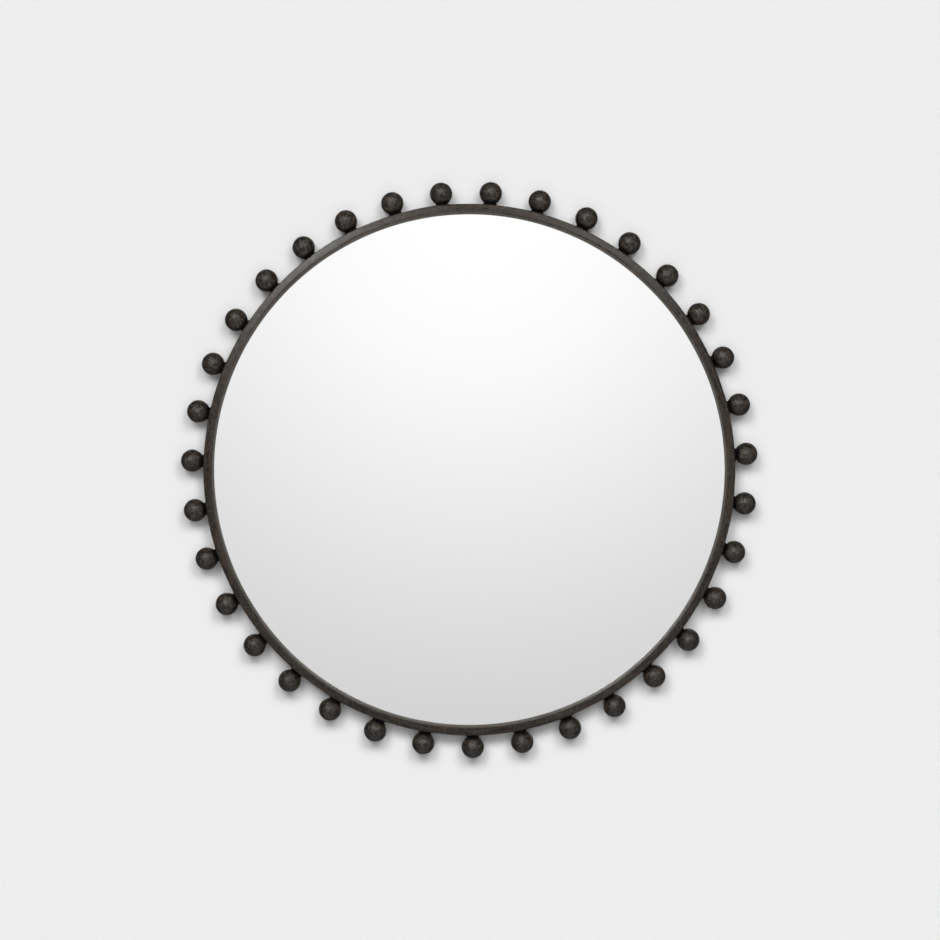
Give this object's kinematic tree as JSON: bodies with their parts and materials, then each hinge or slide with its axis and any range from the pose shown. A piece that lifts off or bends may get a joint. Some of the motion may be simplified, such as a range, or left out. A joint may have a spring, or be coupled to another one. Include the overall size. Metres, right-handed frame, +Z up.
{
  "type": "round mirror",
  "caption": "Round wall mirror in a crowned iron ring edged with evenly spaced iron balls, hung on two swinging D-rings on its back.",
  "frame": {"origin": "centre of the ring on the wall plane, at the ring's back edge", "axes": "+Z is up, +Y points into the wall, and the mirror faces -Y; +X is right as seen by a viewer"},
  "size_m": [0.8991, 0.0367, 0.8987],
  "materials": {
    "ring_iron": "dark waxed forged iron, brushed along the ring",
    "ball_iron": "dark waxed iron with a fine cast grain",
    "weld_iron": "blackened weld",
    "silvered_glass": "clear silvered float glass",
    "black_foam_tape": "black closed-cell foam tape",
    "black_rubber": "plain black rubber",
    "white_foam": "white packing foam",
    "black_board": "fibreboard painted matt black",
    "tab_steel": "thin black steel",
    "strap_steel": "zinc-plated pressed steel",
    "wire_steel": "zinc-plated steel wire",
    "screw_steel": "zinc-plated screws"
  },
  "bodies": {
    "mirror": {"frame_ring": "ring_iron", "ball_01": "ball_iron", "ball_02": "ball_iron", "ball_03": "ball_iron", "ball_04": "ball_iron", "ball_05": "ball_iron", "ball_06": "ball_iron", "ball_07": "ball_iron", "ball_08": "ball_iron", "ball_09": "ball_iron", "ball_10": "ball_iron", "ball_11": "ball_iron", "ball_12": "ball_iron", "ball_13": "ball_iron", "ball_14": "ball_iron", "ball_15": "ball_iron", "ball_16": "ball_iron", "ball_17": "ball_iron", "ball_18": "ball_iron", "ball_19": "ball_iron", "ball_20": "ball_iron", "ball_21": "ball_iron", "ball_22": "ball_iron", "ball_23": "ball_iron", "ball_24": "ball_iron", "ball_25": "ball_iron", "ball_26": "ball_iron", "ball_27": "ball_iron", "ball_28": "ball_iron", "ball_29": "ball_iron", "ball_30": "ball_iron", "ball_31": "ball_iron", "ball_32": "ball_iron", "ball_33": "ball_iron", "ball_34": "ball_iron", "ball_35": "ball_iron", "ball_necks": "weld_iron", "glazing_tape": "black_foam_tape", "mirror_glass": "silvered_glass", "setting_blocks": "black_rubber", "foam_sheet": "white_foam", "backing_board": "black_board", "retaining_tabs": "tab_steel", "tab_screws": "screw_steel", "hanger_strap_left": "strap_steel", "hanger_strap_right": "strap_steel", "hanger_screws": "screw_steel"},
    "left_d_ring": {"d_ring_left": "wire_steel"},
    "right_d_ring": {"d_ring_right": "wire_steel"}
  },
  "joints": [
    {"name": "left_d_ring_swing", "type": "hinge", "parent": "mirror", "child": "left_d_ring", "pos_m": [-0.25, -0.005, 0.22], "axis": [1, 0, 0], "range_deg": [0, 184]},
    {"name": "right_d_ring_swing", "type": "hinge", "parent": "mirror", "child": "right_d_ring", "pos_m": [0.25, -0.005, 0.22], "axis": [1, 0, 0], "range_deg": [0, 184]}
  ]
}
